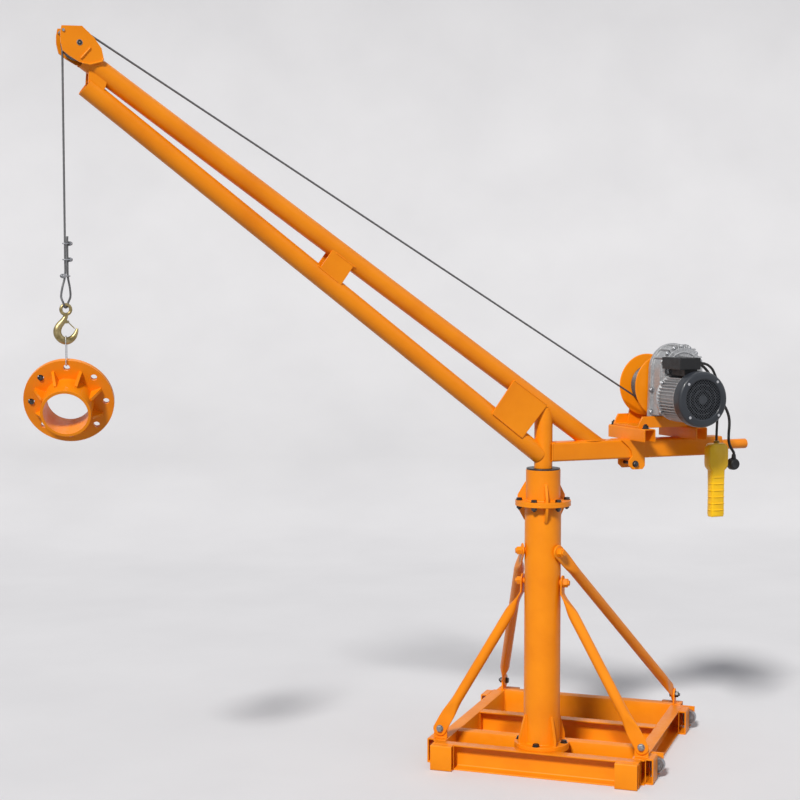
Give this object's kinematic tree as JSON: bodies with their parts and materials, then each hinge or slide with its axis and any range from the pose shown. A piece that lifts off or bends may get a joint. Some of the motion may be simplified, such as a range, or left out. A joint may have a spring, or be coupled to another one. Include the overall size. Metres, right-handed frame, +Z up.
{
  "type": "portable mini crane",
  "caption": "Portable mini crane: a braced mast on a channel base carries a slewing twin-tube boom with a tip sheave, a tail-mounted electric hoist, a hook and a spare flange.",
  "frame": {"origin": "on the mast axis at floor level", "axes": "+Z up along the mast axis; the boom points along -X, the tail beam along +X; the hoist motor is on the -Y side"},
  "size_m": [2.34, 1.054, 2.229],
  "materials": {
    "orange_paint": "gloss orange paint",
    "dark_steel": "dark machined steel",
    "zinc_steel": "zinc plated steel",
    "cast_aluminium": "cast aluminium, satin",
    "dark_cover": "dark slate paint",
    "black_plastic": "matte black plastic",
    "wire_rope": "greased wire rope",
    "black_rubber": "matte black rubber cord",
    "yellow_plastic": "yellow plastic",
    "yellow_zinc": "yellow zinc plated steel",
    "bright_wire": "bright annealed wire"
  },
  "bodies": {
    "base": {"front_channel": "orange_paint", "rear_channel": "orange_paint", "left_channel": "orange_paint", "right_channel": "orange_paint", "front_cross_channel": "orange_paint", "rear_cross_channel": "orange_paint", "corner_bumpers": "orange_paint", "wheel_brackets": "orange_paint", "brace_lugs": "orange_paint", "mast_seat": "orange_paint", "mast_foot": "orange_paint", "mast_tube": "orange_paint", "mast_head": "orange_paint", "brace_front_left": "orange_paint", "brace_front_right": "orange_paint", "brace_rear_left": "orange_paint", "brace_rear_right": "orange_paint", "bearing_housing": "orange_paint", "bearing_cap": "dark_steel"},
    "boom": {"slew_post": "orange_paint", "upper_boom_tube": "orange_paint", "lower_boom_tube": "orange_paint", "root_plates": "orange_paint", "middle_plates": "orange_paint", "tip_plates": "orange_paint", "sheave_cheeks": "orange_paint", "sheave_pins": "zinc_steel", "tail_beam": "orange_paint", "tail_handle": "orange_paint", "hoist_crossbars": "orange_paint", "tail_clamps": "orange_paint", "hoist_base": "orange_paint", "drum_bracket": "orange_paint", "gearbox": "cast_aluminium", "motor_body": "cast_aluminium", "fan_cover": "dark_cover", "capacitor_box": "black_plastic", "boom_rope": "wire_rope", "pendant_cord": "black_rubber", "pendant": "yellow_plastic", "power_cord": "black_rubber", "power_plug": "black_plastic"},
    "drum": {"hoist_drum": "orange_paint", "drum_rope": "wire_rope"},
    "sheave": {"tip_sheave": "dark_steel"},
    "hook": {"fall_rope": "wire_rope", "rope_eye": "wire_rope", "lifting_hook": "yellow_zinc", "load_flange": "orange_paint", "load_wire": "bright_wire"},
    "latch": {"hook_latch": "yellow_zinc"},
    "front_roller": {"front_wheel": "zinc_steel"},
    "rear_roller": {"rear_wheel": "zinc_steel"}
  },
  "joints": [
    {"name": "slew", "type": "hinge", "parent": "base", "child": "boom", "pos_m": [0, 0, 0.96], "axis": [0, 0, 1], "continuous": true},
    {"name": "hoist", "type": "slide", "parent": "boom", "child": "hook", "axis": [0, 0, 1], "range_m": [-1, 0.3], "deforming": ["fall_rope"]},
    {"name": "drum_turn", "type": "hinge", "parent": "boom", "child": "drum", "pos_m": [0.4, 0, 1.21], "axis": [0, 1, 0], "continuous": true},
    {"name": "sheave_turn", "type": "hinge", "parent": "boom", "child": "sheave", "pos_m": [-1.441, 0, 2.184], "axis": [0, 1, 0], "continuous": true},
    {"name": "latch_swing", "type": "hinge", "parent": "hook", "child": "latch", "pos_m": [-1.477, 0, 1.425], "axis": [0, 1, 0], "range_deg": [0, 40], "stiffness_Nm_per_rad": 0.005, "springref_deg": -17.19},
    {"name": "front_roller_turn", "type": "hinge", "parent": "base", "child": "front_roller", "pos_m": [0.29229, -0.21339, 0.04], "axis": [0.6691, 0.7431, 0], "continuous": true},
    {"name": "rear_roller_turn", "type": "hinge", "parent": "base", "child": "rear_roller", "pos_m": [0.69377, 0.2325, 0.04], "axis": [0.6691, 0.7431, 0], "continuous": true}
  ],
  "couplings": [
    {"joint": "drum_turn", "follows": "hoist", "rad_per_m": -15.152},
    {"joint": "sheave_turn", "follows": "hoist", "rad_per_m": 24.39}
  ]
}
